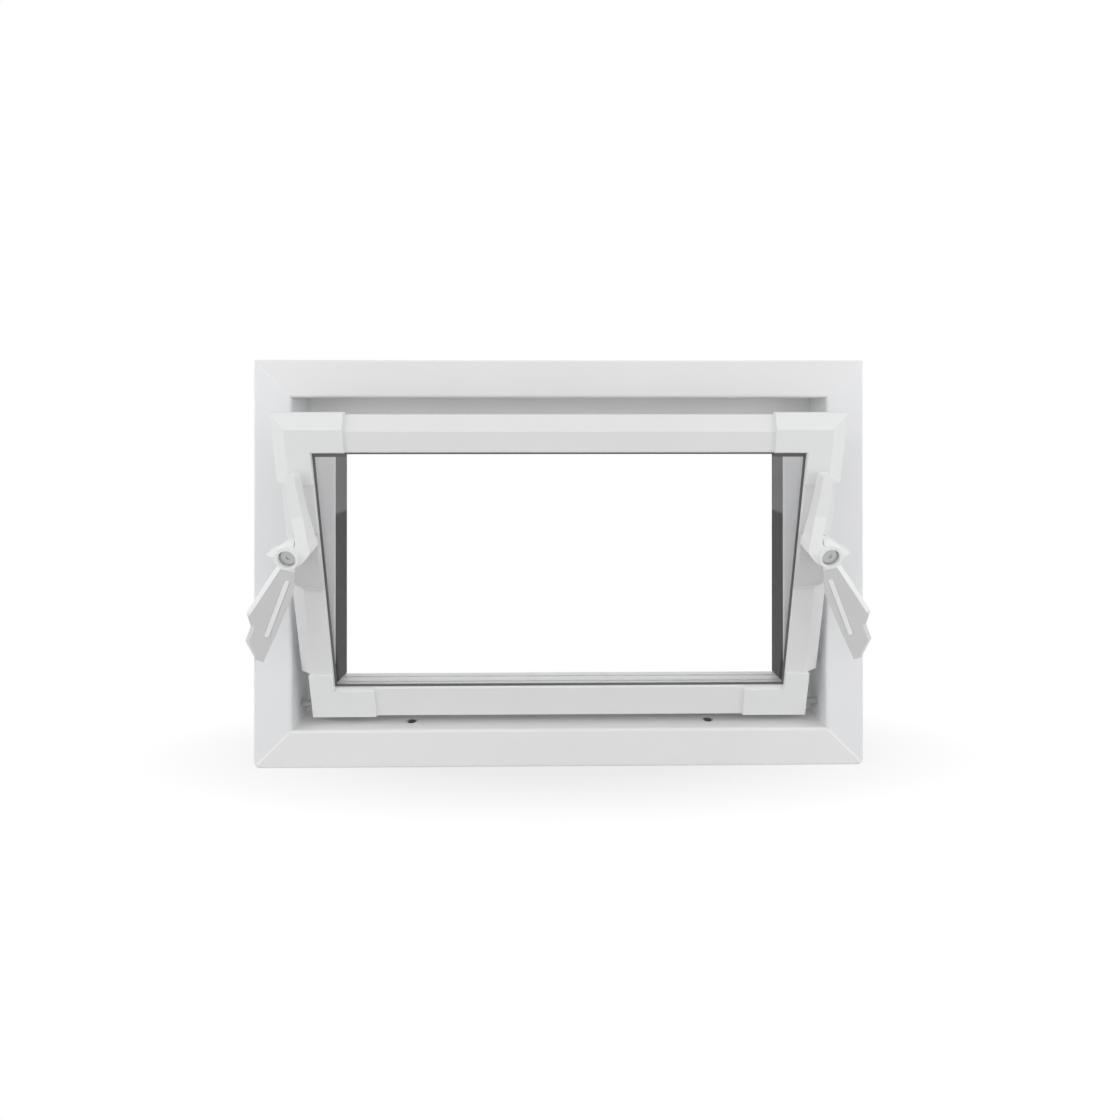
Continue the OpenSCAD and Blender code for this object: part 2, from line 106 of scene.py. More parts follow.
floor_mix = floor_nodes.new("ShaderNodeMixShader")
floor_links.new(floor_ray.outputs["Is Camera Ray"], floor_seen.inputs[0])
floor_links.new(floor_ray.outputs["Is Transmission Ray"], floor_seen.inputs[1])
floor_links.new(floor_seen.outputs[0], floor_bare.inputs[0])
floor_links.new(floor_ray.outputs["Is Glossy Ray"], floor_bare.inputs[1])
shadow_half_width = 0.36
shadow_half_depth = 0.10
glow_near_window = 0.65
floor_place = floor_nodes.new("ShaderNodeTexCoord")
floor_footprint = floor_nodes.new("ShaderNodeVectorMath")
floor_footprint.operation = "DIVIDE"
floor_footprint.inputs[1].default_value = (shadow_half_width, shadow_half_depth, 1.0)
floor_links.new(floor_place.outputs["Object"], floor_footprint.inputs[0])
floor_reach = floor_nodes.new("ShaderNodeVectorMath")
floor_reach.operation = "LENGTH"
floor_links.new(floor_footprint.outputs["Vector"], floor_reach.inputs[0])
floor_fade = floor_nodes.new("ShaderNodeMapRange")
floor_fade.inputs["From Min"].default_value = 0.5
floor_fade.inputs["From Max"].default_value = 1.2
floor_fade.inputs["To Min"].default_value = glow_near_window
floor_fade.inputs["To Max"].default_value = 1.0
floor_links.new(floor_reach.outputs["Value"], floor_fade.inputs["Value"])
floor_share = floor_nodes.new("ShaderNodeMath")
floor_share.operation = "MULTIPLY"
floor_links.new(floor_bare.outputs[0], floor_share.inputs[0])
floor_links.new(floor_fade.outputs["Result"], floor_share.inputs[1])
floor_links.new(floor_share.outputs[0], floor_mix.inputs[0])
floor_links.new(floor_paper.outputs[0], floor_mix.inputs[1])
floor_links.new(floor_glow.outputs[0], floor_mix.inputs[2])
floor_links.new(floor_mix.outputs[0], floor_nodes["Material Output"].inputs["Surface"])
floor_mesh.materials.append(floor_finish)

for name, place, turn, size, power in (
    ("left_lamp", (-1.4, -0.75, 0.6), (76, 0, -61), 1.2, 8.5),
    ("right_lamp", (1.4, -0.75, 0.6), (76, 0, 61), 1.2, 8.5),
    ("front_lamp", (0.0, -1.5, 1.6), (46, 0, 0), 2.2, 8.5),
    ("back_lamp", (0.0, 1.6, 1.6), (-50, 0, 0), 1.6, 9),
):
    lamp_data = bpy.data.lights.new(name, "AREA")
    lamp_data.size = size
    lamp_data.energy = power
    lamp = bpy.data.objects.new(name, lamp_data)
    lamp.location = place
    lamp.rotation_euler = tuple(math.radians(a) for a in turn)
    bpy.context.scene.collection.objects.link(lamp)

# Frame. Four lengths of extruded white plastic, cut at 45 degrees and welded at the corners, with
# a smooth satin skin that shows faint drawing marks along each length and a little dust.
skin_marks = bpy.data.node_groups.new("skin_marks", "ShaderNodeTree")
skin_marks.interface.new_socket("Stretch", in_out="INPUT", socket_type="NodeSocketVector")
skin_marks.interface.new_socket("Colour", in_out="INPUT", socket_type="NodeSocketColor")
skin_marks.interface.new_socket("Shaded Colour", in_out="INPUT", socket_type="NodeSocketColor")
skin_marks.interface.new_socket("Lowest Roughness", in_out="INPUT", socket_type="NodeSocketFloat")
skin_marks.interface.new_socket("Colour Out", in_out="OUTPUT", socket_type="NodeSocketColor")
skin_marks.interface.new_socket("Roughness Out", in_out="OUTPUT", socket_type="NodeSocketFloat")
skin_marks.interface.new_socket("Height Out", in_out="OUTPUT", socket_type="NodeSocketFloat")
mark_nodes = skin_marks.nodes
mark_links = skin_marks.links
mark_in = mark_nodes.new("NodeGroupInput")
mark_out = mark_nodes.new("NodeGroupOutput")
mark_place = mark_nodes.new("ShaderNodeTexCoord")
mark_stretch = mark_nodes.new("ShaderNodeVectorMath")
mark_stretch.operation = "MULTIPLY"
mark_links.new(mark_place.outputs["Object"], mark_stretch.inputs[0])
mark_links.new(mark_in.outputs["Stretch"], mark_stretch.inputs[1])
mark_lines = mark_nodes.new("ShaderNodeTexNoise")
mark_lines.inputs["Scale"].default_value = 1.0
mark_lines.inputs["Detail"].default_value = 3.0
mark_links.new(mark_stretch.outputs[0], mark_lines.inputs["Vector"])
mark_dust = mark_nodes.new("ShaderNodeTexNoise")
mark_dust.inputs["Scale"].default_value = 9.0
mark_dust.inputs["Detail"].default_value = 4.0
mark_links.new(mark_place.outputs["Object"], mark_dust.inputs["Vector"])
mark_blend = mark_nodes.new("ShaderNodeMapRange")
mark_blend.inputs["From Min"].default_value = 0.35
mark_blend.inputs["From Max"].default_value = 0.75
mark_links.new(mark_dust.outputs["Fac"], mark_blend.inputs["Value"])
mark_tint = mark_nodes.new("ShaderNodeMix")
mark_tint.data_type = "RGBA"
mark_links.new(mark_blend.outputs["Result"], mark_tint.inputs["Factor"])
mark_links.new(mark_in.outputs["Colour"], mark_tint.inputs["A"])
mark_links.new(mark_in.outputs["Shaded Colour"], mark_tint.inputs["B"])
mark_gloss = mark_nodes.new("ShaderNodeMath")
mark_gloss.operation = "MULTIPLY_ADD"
mark_gloss.inputs[1].default_value = 0.12
mark_links.new(mark_lines.outputs["Fac"], mark_gloss.inputs[0])
mark_links.new(mark_in.outputs["Lowest Roughness"], mark_gloss.inputs[2])
mark_links.new(mark_tint.outputs["Result"], mark_out.inputs["Colour Out"])
mark_links.new(mark_gloss.outputs[0], mark_out.inputs["Roughness Out"])
mark_links.new(mark_lines.outputs["Fac"], mark_out.inputs["Height Out"])

frame_rails_finish = bpy.data.materials.new("frame_rails_white")
frame_jambs_finish = bpy.data.materials.new("frame_jambs_white")
for finish, stretch, colour, shaded in (
    (frame_rails_finish, (3.0, 260.0, 260.0), (0.86, 0.86, 0.862, 1.0), (0.84, 0.84, 0.844, 1.0)),
    (frame_jambs_finish, (260.0, 260.0, 3.0), (0.86, 0.863, 0.87, 1.0), (0.84, 0.844, 0.852, 1.0)),
):
    finish.use_nodes = True
    nodes = finish.node_tree.nodes
    links = finish.node_tree.links
    shader = nodes["Principled BSDF"]
    marks = nodes.new("ShaderNodeGroup")
    marks.node_tree = skin_marks
    marks.inputs["Stretch"].default_value = stretch
    marks.inputs["Colour"].default_value = colour
    marks.inputs["Shaded Colour"].default_value = shaded
    marks.inputs["Lowest Roughness"].default_value = 0.30
    bump = nodes.new("ShaderNodeBump")
    bump.inputs["Strength"].default_value = 0.04
    bump.inputs["Distance"].default_value = 0.0003
    links.new(marks.outputs["Colour Out"], shader.inputs["Base Color"])
    links.new(marks.outputs["Roughness Out"], shader.inputs["Roughness"])
    links.new(marks.outputs["Height Out"], bump.inputs["Height"])
    links.new(bump.outputs["Normal"], shader.inputs["Normal"])
for rail in ("frame_bottom_rail", "frame_top_rail"):
    bpy.data.objects[rail].material_slots[0].material = frame_rails_finish
for jamb in ("frame_left_jamb", "frame_right_jamb"):
    bpy.data.objects[jamb].material_slots[0].material = frame_jambs_finish

# Painted shade on the reveals. Dark grey sheets lie over the grooves of the jambs' stops beside the
# opening, where the sash shades them, a little thicker towards the outside; they stand in for that
# shade. Their upper part, above the edge of the sash's shadow, is a lighter grey: painted light for
# the light that comes in over the sash's top.
reveal_shade_finish = bpy.data.materials.new("reveal_painted_shade")
reveal_shade_finish.use_nodes = True
nodes = reveal_shade_finish.node_tree.nodes
links = reveal_shade_finish.node_tree.links
shader = nodes["Principled BSDF"]
shader.inputs["Specular IOR Level"].default_value = 0.0
# Height of the edge of the sash's painted shadow on the strips: the darker grey below it is painted
# shadow, the lighter grey above it painted light.
sash_shadow_edge = 0.243
sash_shadow_blur = 0.002
sash_shadow_marks = nodes.new("ShaderNodeGroup")
sash_shadow_marks.node_tree = skin_marks
sash_shadow_marks.inputs["Stretch"].default_value = (300.0, 300.0, 4.0)
sash_shadow_marks.inputs["Colour"].default_value = (0.036, 0.036, 0.037, 1.0)
sash_shadow_marks.inputs["Shaded Colour"].default_value = (0.043, 0.043, 0.044, 1.0)
sash_shadow_marks.inputs["Lowest Roughness"].default_value = 0.45
gap_light_marks = nodes.new("ShaderNodeGroup")
gap_light_marks.node_tree = skin_marks
gap_light_marks.inputs["Stretch"].default_value = (300.0, 300.0, 4.0)
gap_light_marks.inputs["Colour"].default_value = (0.19, 0.19, 0.193, 1.0)
gap_light_marks.inputs["Shaded Colour"].default_value = (0.21, 0.21, 0.213, 1.0)
gap_light_marks.inputs["Lowest Roughness"].default_value = 0.45
reveal_shade_place = nodes.new("ShaderNodeTexCoord")
reveal_shade_axes = nodes.new("ShaderNodeSeparateXYZ")
links.new(reveal_shade_place.outputs["Object"], reveal_shade_axes.inputs[0])
sash_shadow_mask = nodes.new("ShaderNodeMapRange")
sash_shadow_mask.inputs["From Min"].default_value = sash_shadow_edge - sash_shadow_blur
sash_shadow_mask.inputs["From Max"].default_value = sash_shadow_edge + sash_shadow_blur
links.new(reveal_shade_axes.outputs["Z"], sash_shadow_mask.inputs["Value"])
painted_shade_grey = nodes.new("ShaderNodeMix")
painted_shade_grey.data_type = "RGBA"
links.new(sash_shadow_mask.outputs["Result"], painted_shade_grey.inputs["Factor"])
links.new(sash_shadow_marks.outputs["Colour Out"], painted_shade_grey.inputs["A"])
links.new(gap_light_marks.outputs["Colour Out"], painted_shade_grey.inputs["B"])
links.new(painted_shade_grey.outputs["Result"], shader.inputs["Base Color"])
links.new(sash_shadow_marks.outputs["Roughness Out"], shader.inputs["Roughness"])
reveal = 0.2342
shade_strip_sunk = 0.0002
shade_strip_front = 0.0064
shade_strip_back = 0.0345
shade_strip_low = 0.0662
shade_strip_length = 0.2676
shade_strip_section = (
    (reveal + shade_strip_sunk, shade_strip_front),
    (reveal - 0.0003, shade_strip_front),
    (reveal - 0.0020, shade_strip_back),
    (reveal + shade_strip_sunk, shade_strip_back),
)
# The strips are dark sheets that stand in for the shade on the reveals: painted shade.
for name, side in (("lining_left", -1), ("lining_right", 1)):
    strip = bmesh.new()
    ring = [strip.verts.new((side * x, y, shade_strip_low)) for x, y in shade_strip_section]
    foot = strip.faces.new(ring)
    grown = bmesh.ops.extrude_face_region(strip, geom=[foot])
    raised = [item for item in grown["geom"] if isinstance(item, bmesh.types.BMVert)]
    bmesh.ops.translate(strip, vec=(0.0, 0.0, shade_strip_length), verts=raised)
    bmesh.ops.recalc_face_normals(strip, faces=strip.faces)
    strip_mesh = bpy.data.meshes.new(name)
    strip.to_mesh(strip_mesh)
    strip.free()
    strip_mesh.materials.append(reveal_shade_finish)
    strip_piece = bpy.data.objects.new(name, strip_mesh)
    bpy.context.scene.collection.objects.link(strip_piece)
    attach(strip_piece, "frame")

# Weld seams. The hot welded mitres of the frame are scraped flat and leave a narrow lighter seam
# across each corner of the face, plainer at the bottom than at the top.
seam_finish = bpy.data.materials.new("welded_seam")
seam_finish.use_nodes = True
nodes = seam_finish.node_tree.nodes
links = seam_finish.node_tree.links
shader = nodes["Principled BSDF"]
marks = nodes.new("ShaderNodeGroup")
marks.node_tree = skin_marks
marks.inputs["Stretch"].default_value = (700.0, 700.0, 700.0)
marks.inputs["Colour"].default_value = (0.97, 0.97, 0.972, 1.0)
marks.inputs["Shaded Colour"].default_value = (0.94, 0.94, 0.943, 1.0)
marks.inputs["Lowest Roughness"].default_value = 0.45
bump = nodes.new("ShaderNodeBump")
bump.inputs["Strength"].default_value = 0.2
bump.inputs["Distance"].default_value = 0.0002
links.new(marks.outputs["Colour Out"], shader.inputs["Base Color"])
links.new(marks.outputs["Roughness Out"], shader.inputs["Roughness"])
links.new(marks.outputs["Height Out"], bump.inputs["Height"])
links.new(bump.outputs["Normal"], shader.inputs["Normal"])
frame_half_width = 0.300
frame_top = 0.400
frame_front = -0.035
face_width = 0.0368
seam_short = 0.006
seam_thick = 0.0004
seam_in = face_width / 2 + 0.001
for name, side, corner_z, rise, seam_width in (
    ("weld_bottom_left", -1, 0.0, 1, 0.0022),
    ("weld_bottom_right", 1, 0.0, 1, 0.0022),
    ("weld_top_left", -1, frame_top, -1, 0.0005),
    ("weld_top_right", 1, frame_top, -1, 0.0005),
):
    seam = bmesh.new()
    bmesh.ops.create_cube(seam, size=1.0)
    seam_size = ((face_width - seam_short) * math.sqrt(2.0), seam_thick, seam_width)
    bmesh.ops.scale(seam, vec=seam_size, verts=seam.verts)
    bmesh.ops.bevel(
        seam, geom=seam.edges[:], offset=0.0001,
        affect="EDGES", segments=1, profile=0.5, material=-1,
    )
    seam_turn = mathutils.Matrix.Rotation(side * rise * math.radians(45.0), 3, "Y")
    bmesh.ops.rotate(seam, cent=(0.0, 0.0, 0.0), matrix=seam_turn, verts=seam.verts)
    seam_middle = (side * (frame_half_width - seam_in), frame_front, corner_z + rise * seam_in)
    bmesh.ops.translate(seam, vec=seam_middle, verts=seam.verts)
    seam_mesh = bpy.data.meshes.new(name)
    seam.to_mesh(seam_mesh)
    seam.free()
    seam_mesh.materials.append(seam_finish)
    seam_piece = bpy.data.objects.new(name, seam_mesh)
    bpy.context.scene.collection.objects.link(seam_piece)
    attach(seam_piece, "frame")

# Sash. A lighter extrusion in a slightly greyer white, held between moulded corner pieces, with its
# glazing beads snapped in from the outside. The stiles and their side beads take a copy of the
# rails' white that is painted a shade darker: painted shade.
sash_rails_finish = bpy.data.materials.new("sash_rails_white")
sash_stiles_painted_shade_finish = bpy.data.materials.new("sash_stiles_painted_shade")
for finish, stretch, colour, shaded in (
    (sash_rails_finish, (3.0, 260.0, 260.0), (0.835, 0.835, 0.84, 1.0), (0.815, 0.815, 0.82, 1.0)),
    # The stiles' copy of the white is a shade darker than the rails': painted shade.
    (sash_stiles_painted_shade_finish, (260.0, 260.0, 3.0), (0.80, 0.80, 0.805, 1.0), (0.78, 0.78, 0.786, 1.0)),
):
    finish.use_nodes = True
    nodes = finish.node_tree.nodes
    links = finish.node_tree.links
    shader = nodes["Principled BSDF"]
    marks = nodes.new("ShaderNodeGroup")
    marks.node_tree = skin_marks
    marks.inputs["Stretch"].default_value = stretch
    marks.inputs["Colour"].default_value = colour
    marks.inputs["Shaded Colour"].default_value = shaded
    marks.inputs["Lowest Roughness"].default_value = 0.32
    bump = nodes.new("ShaderNodeBump")
    bump.inputs["Strength"].default_value = 0.04
    bump.inputs["Distance"].default_value = 0.0003
    links.new(marks.outputs["Colour Out"], shader.inputs["Base Color"])
    links.new(marks.outputs["Roughness Out"], shader.inputs["Roughness"])
    links.new(marks.outputs["Height Out"], bump.inputs["Height"])
    links.new(bump.outputs["Normal"], shader.inputs["Normal"])
for part in ("sash_bottom_rail", "sash_top_rail", "bead_bottom", "bead_top"):
    bpy.data.objects[part].material_slots[0].material = sash_rails_finish
for part in ("sash_left_stile", "sash_right_stile", "bead_left", "bead_right"):
    bpy.data.objects[part].material_slots[0].material = sash_stiles_painted_shade_finish

# Mouldings. The sash's four corner pieces and the bushes of its hinge are injection moulded in a
# white with a fine even grain.
moulded_finish = bpy.data.materials.new("moulded_white")
moulded_finish.use_nodes = True
nodes = moulded_finish.node_tree.nodes
links = moulded_finish.node_tree.links
shader = nodes["Principled BSDF"]
marks = nodes.new("ShaderNodeGroup")
marks.node_tree = skin_marks
marks.inputs["Stretch"].default_value = (900.0, 900.0, 900.0)
marks.inputs["Colour"].default_value = (0.845, 0.85, 0.85, 1.0)
marks.inputs["Shaded Colour"].default_value = (0.83, 0.835, 0.835, 1.0)
marks.inputs["Lowest Roughness"].default_value = 0.34
bump = nodes.new("ShaderNodeBump")
bump.inputs["Strength"].default_value = 0.08
bump.inputs["Distance"].default_value = 0.0002
links.new(marks.outputs["Colour Out"], shader.inputs["Base Color"])
links.new(marks.outputs["Roughness Out"], shader.inputs["Roughness"])
links.new(marks.outputs["Height Out"], bump.inputs["Height"])
links.new(bump.outputs["Normal"], shader.inputs["Normal"])
for part in (
    "corner_top_left", "corner_top_right", "corner_bottom_left", "corner_bottom_right",
    "hinge_bush_left", "hinge_bush_right",
):
    bpy.data.objects[part].material_slots[0].material = moulded_finish

# Levers. One moulding each, with a smooth white boss and grip. The stay arm below the boss has its
# face painted greyer, painted shade for a face that turns down and away from the light; its outer
# edge keeps the grip's white and is as pale as the grip.
lever_finish = bpy.data.materials.new("lever_white")
lever_finish.use_nodes = True
nodes = lever_finish.node_tree.nodes
links = lever_finish.node_tree.links
shader = nodes["Principled BSDF"]
grip_marks = nodes.new("ShaderNodeGroup")
grip_marks.node_tree = skin_marks
grip_marks.inputs["Stretch"].default_value = (900.0, 900.0, 900.0)
grip_marks.inputs["Colour"].default_value = (0.885, 0.888, 0.888, 1.0)
grip_marks.inputs["Shaded Colour"].default_value = (0.865, 0.868, 0.868, 1.0)
grip_marks.inputs["Lowest Roughness"].default_value = 0.34
# The arm's face colour is painted greyer than the grip: painted shade.
arm_painted_shade_marks = nodes.new("ShaderNodeGroup")
arm_painted_shade_marks.node_tree = skin_marks
arm_painted_shade_marks.inputs["Stretch"].default_value = (900.0, 900.0, 900.0)
arm_painted_shade_marks.inputs["Colour"].default_value = (0.71, 0.71, 0.712, 1.0)
arm_painted_shade_marks.inputs["Shaded Colour"].default_value = (0.69, 0.69, 0.692, 1.0)
arm_painted_shade_marks.inputs["Lowest Roughness"].default_value = 0.5
boss_x = 0.242
boss_z = 0.2185
boss_radius = 0.0106
arm_turn = math.radians(24.0)
tint_blend = 0.0004
lever_place = nodes.new("ShaderNodeTexCoord")
lever_side = nodes.new("ShaderNodeVectorMath")
lever_side.operation = "ABSOLUTE"
links.new(lever_place.outputs["Object"], lever_side.inputs[0])
lever_along = nodes.new("ShaderNodeVectorMath")
lever_along.operation = "DOT_PRODUCT"
lever_along.inputs[1].default_value = (math.sin(arm_turn), 0.0, -math.cos(arm_turn))
links.new(lever_side.outputs["Vector"], lever_along.inputs[0])
boss_along = boss_x * math.sin(arm_turn) - boss_z * math.cos(arm_turn)
# Where the painted shade of the arm begins, below the boss.
arm_shade_mask = nodes.new("ShaderNodeMapRange")
arm_shade_mask.inputs["From Min"].default_value = boss_along + boss_radius
arm_shade_mask.inputs["From Max"].default_value = boss_along + boss_radius + tint_blend
links.new(lever_along.outputs["Value"], arm_shade_mask.inputs["Value"])
arm_shade_tint = nodes.new("ShaderNodeMix")
arm_shade_tint.data_type = "RGBA"
links.new(arm_shade_mask.outputs["Result"], arm_shade_tint.inputs["Factor"])
links.new(grip_marks.outputs["Colour Out"], arm_shade_tint.inputs["A"])
links.new(arm_painted_shade_marks.outputs["Colour Out"], arm_shade_tint.inputs["B"])
bump = nodes.new("ShaderNodeBump")
bump.inputs["Strength"].default_value = 0.08
bump.inputs["Distance"].default_value = 0.0002
links.new(grip_marks.outputs["Roughness Out"], shader.inputs["Roughness"])
links.new(grip_marks.outputs["Height Out"], bump.inputs["Height"])
links.new(bump.outputs["Normal"], shader.inputs["Normal"])
pale_edge = 0.3233
edge_outwards = (0.8161, 0.0, 0.5779)
edge_here = nodes.new("ShaderNodeMapRange")
edge_here.inputs["From Min"].default_value = pale_edge
edge_here.inputs["From Max"].default_value = pale_edge + tint_blend
lever_across = nodes.new("ShaderNodeVectorMath")
lever_across.operation = "DOT_PRODUCT"
lever_across.inputs[1].default_value = edge_outwards
links.new(lever_side.outputs["Vector"], lever_across.inputs[0])
links.new(lever_across.outputs["Value"], edge_here.inputs["Value"])
edge_tint = nodes.new("ShaderNodeMix")
edge_tint.data_type = "RGBA"
links.new(edge_here.outputs["Result"], edge_tint.inputs["Factor"])
links.new(arm_shade_tint.outputs["Result"], edge_tint.inputs["A"])
links.new(grip_marks.outputs["Colour Out"], edge_tint.inputs["B"])
links.new(edge_tint.outputs["Result"], shader.inputs["Base Color"])
for part in ("lever_left", "lever_right"):
    bpy.data.objects[part].material_slots[0].material = lever_finish

# Slot highlights. A strip of bright white fills the slot of each arm and stands in for the bright
# frame seen through the slot: a painted highlight. It is rounded at its ends and crowned, and
# stands slightly proud of the arm's face.
slot_highlight_finish = bpy.data.materials.new("slot_painted_highlight")
slot_highlight_finish.use_nodes = True
nodes = slot_highlight_finish.node_tree.nodes
links = slot_highlight_finish.node_tree.links
shader = nodes["Principled BSDF"]
marks = nodes.new("ShaderNodeGroup")
marks.node_tree = skin_marks
marks.inputs["Stretch"].default_value = (500.0, 500.0, 500.0)
# Whiter than the window's own white: a painted highlight.
marks.inputs["Colour"].default_value = (0.95, 0.95, 0.95, 1.0)
marks.inputs["Shaded Colour"].default_value = (0.93, 0.93, 0.93, 1.0)
marks.inputs["Lowest Roughness"].default_value = 0.4
links.new(marks.outputs["Colour Out"], shader.inputs["Base Color"])
links.new(marks.outputs["Roughness Out"], shader.inputs["Roughness"])
highlight_strip_width = 0.0047
highlight_strip_length = 0.0627
highlight_strip_height = 0.0030
highlight_strip_round = 0.0008
slot_middle = (0.00725, -0.0525, 0.0053 - highlight_strip_height / 2)
hinge_line = mathutils.Matrix.Translation((0.0, -0.011, 0.0532))
sash_lean = mathutils.Matrix.Rotation(math.radians(13.8), 4, "X")
boss_place = mathutils.Matrix.Translation((-0.242, -0.0237, 0.233))
off_sash = mathutils.Matrix.Rotation(math.radians(90.0), 4, "X")
arm_lift = mathutils.Matrix.Translation((0.0, 0.0, 0.0277))
arm_out = mathutils.Matrix.Rotation(-arm_turn, 4, "Z")
arm_cant = mathutils.Matrix.Rotation(math.radians(18.0), 4, "Y")
arm_back = mathutils.Matrix.Translation((0.0, 0.0, -0.005))
on_sash = hinge_line @ sash_lean @ hinge_line.inverted()
on_arm = on_sash @ boss_place @ off_sash @ arm_lift @ arm_out @ arm_cant @ arm_back
for name, side, body in (
    ("glide_strip_left", 1, "lever_arm_left"), ("glide_strip_right", -1, "lever_arm_right")
):
    highlight_strip = bmesh.new()
    bmesh.ops.create_cube(highlight_strip, size=1.0)
    bmesh.ops.scale(highlight_strip, vec=(highlight_strip_width, highlight_strip_length, highlight_strip_height), verts=highlight_strip.verts)
    uprights = [e for e in highlight_strip.edges if abs(e.verts[0].co.z - e.verts[1].co.z) > highlight_strip_height / 2]
    bmesh.ops.bevel(
        highlight_strip, geom=uprights, offset=highlight_strip_width * 0.49,
        affect="EDGES", segments=8, profile=0.5, material=-1,
    )
    rim = [e for e in highlight_strip.edges if min(v.co.z for v in e.verts) > highlight_strip_height * 0.49]
    bmesh.ops.bevel(
        highlight_strip, geom=rim, offset=highlight_strip_round,
        affect="EDGES", segments=3, profile=0.5, material=-1,
    )
    bmesh.ops.translate(highlight_strip, vec=slot_middle, verts=highlight_strip.verts)
    bmesh.ops.transform(highlight_strip, matrix=on_arm, verts=highlight_strip.verts)
    bmesh.ops.scale(highlight_strip, vec=(side, 1.0, 1.0), verts=highlight_strip.verts)
    bmesh.ops.recalc_face_normals(highlight_strip, faces=highlight_strip.faces)
    highlight_strip_mesh = bpy.data.meshes.new(name)
    highlight_strip.to_mesh(highlight_strip_mesh)
    highlight_strip.free()
    highlight_strip_mesh.materials.append(slot_highlight_finish)
    highlight_strip_piece = bpy.data.objects.new(name, highlight_strip_mesh)
    bpy.context.scene.collection.objects.link(highlight_strip_piece)
    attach(highlight_strip_piece, body)

# Lever bases. The moulded plates that the levers turn on, screwed to the sash's stiles. Their white
# is painted greyer than the levers': painted shade for faces that turn down under the grips.
base_painted_shade_finish = bpy.data.materials.new("base_painted_shade_white")
base_painted_shade_finish.use_nodes = True
nodes = base_painted_shade_finish.node_tree.nodes
links = base_painted_shade_finish.node_tree.links
shader = nodes["Principled BSDF"]
marks = nodes.new("ShaderNodeGroup")
marks.node_tree = skin_marks
marks.inputs["Stretch"].default_value = (900.0, 900.0, 900.0)
# Greyer than the levers' white: painted shade.
marks.inputs["Colour"].default_value = (0.72, 0.72, 0.715, 1.0)
marks.inputs["Shaded Colour"].default_value = (0.70, 0.70, 0.695, 1.0)
marks.inputs["Lowest Roughness"].default_value = 0.4
bump = nodes.new("ShaderNodeBump")
bump.inputs["Strength"].default_value = 0.08
bump.inputs["Distance"].default_value = 0.0002
links.new(marks.outputs["Colour Out"], shader.inputs["Base Color"])
links.new(marks.outputs["Roughness Out"], shader.inputs["Roughness"])
links.new(marks.outputs["Height Out"], bump.inputs["Height"])
links.new(bump.outputs["Normal"], shader.inputs["Normal"])
for part in ("lever_base_left", "lever_base_right"):
    bpy.data.objects[part].material_slots[0].material = base_painted_shade_finish

# Seals. Black rubber strips, dull and slightly mottled. Two hold the glass, one on each side, and
# a third on the sash's back closes it against the frame's stop.
seal_finish = bpy.data.materials.new("black_rubber")
seal_finish.use_nodes = True
nodes = seal_finish.node_tree.nodes
links = seal_finish.node_tree.links
shader = nodes["Principled BSDF"]
marks = nodes.new("ShaderNodeGroup")
marks.node_tree = skin_marks
marks.inputs["Stretch"].default_value = (400.0, 400.0, 400.0)
marks.inputs["Colour"].default_value = (0.11, 0.111, 0.113, 1.0)
marks.inputs["Shaded Colour"].default_value = (0.14, 0.141, 0.143, 1.0)
marks.inputs["Lowest Roughness"].default_value = 0.5
bump = nodes.new("ShaderNodeBump")
bump.inputs["Strength"].default_value = 0.15
bump.inputs["Distance"].default_value = 0.0003
links.new(marks.outputs["Colour Out"], shader.inputs["Base Color"])
links.new(marks.outputs["Roughness Out"], shader.inputs["Roughness"])
links.new(marks.outputs["Height Out"], bump.inputs["Height"])
links.new(bump.outputs["Normal"], shader.inputs["Normal"])
for seal in ("sash_seal", "gasket_room_side", "gasket_outside"):
    bpy.data.objects[seal].material_slots[0].material = seal_finish

# Gasket corners. At the sash's upper corners a short, thicker black block lies where the room side
# gasket turns, and shows as a short broad line under the top rail.
pad_length = 0.030
pad_high = 0.3226
pad_low = 0.3182
pad_front = -0.0216
pad_back = -0.02025
pad_outer = 0.2225
pad_size = (pad_length, pad_back - pad_front, pad_high - pad_low)
pad_x = pad_outer - pad_length / 2
pad_y = (pad_front + pad_back) / 2
pad_z = (pad_high + pad_low) / 2
for name, side in (("gasket_corner_left", -1), ("gasket_corner_right", 1)):
    pad = bmesh.new()
    bmesh.ops.create_cube(pad, size=1.0)
    bmesh.ops.scale(pad, vec=pad_size, verts=pad.verts)
    bmesh.ops.bevel(
        pad, geom=pad.edges[:], offset=0.0004,
        affect="EDGES", segments=2, profile=0.5, material=-1,
    )
    bmesh.ops.translate(pad, vec=(side * pad_x, pad_y, pad_z), verts=pad.verts)
    bmesh.ops.transform(pad, matrix=on_sash, verts=pad.verts)
    pad_mesh = bpy.data.meshes.new(name)
    pad.to_mesh(pad_mesh)
    pad.free()
    pad_mesh.materials.append(seal_finish)
    pad_piece = bpy.data.objects.new(name, pad_mesh)
    bpy.context.scene.collection.objects.link(pad_piece)
    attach(pad_piece, "sash")

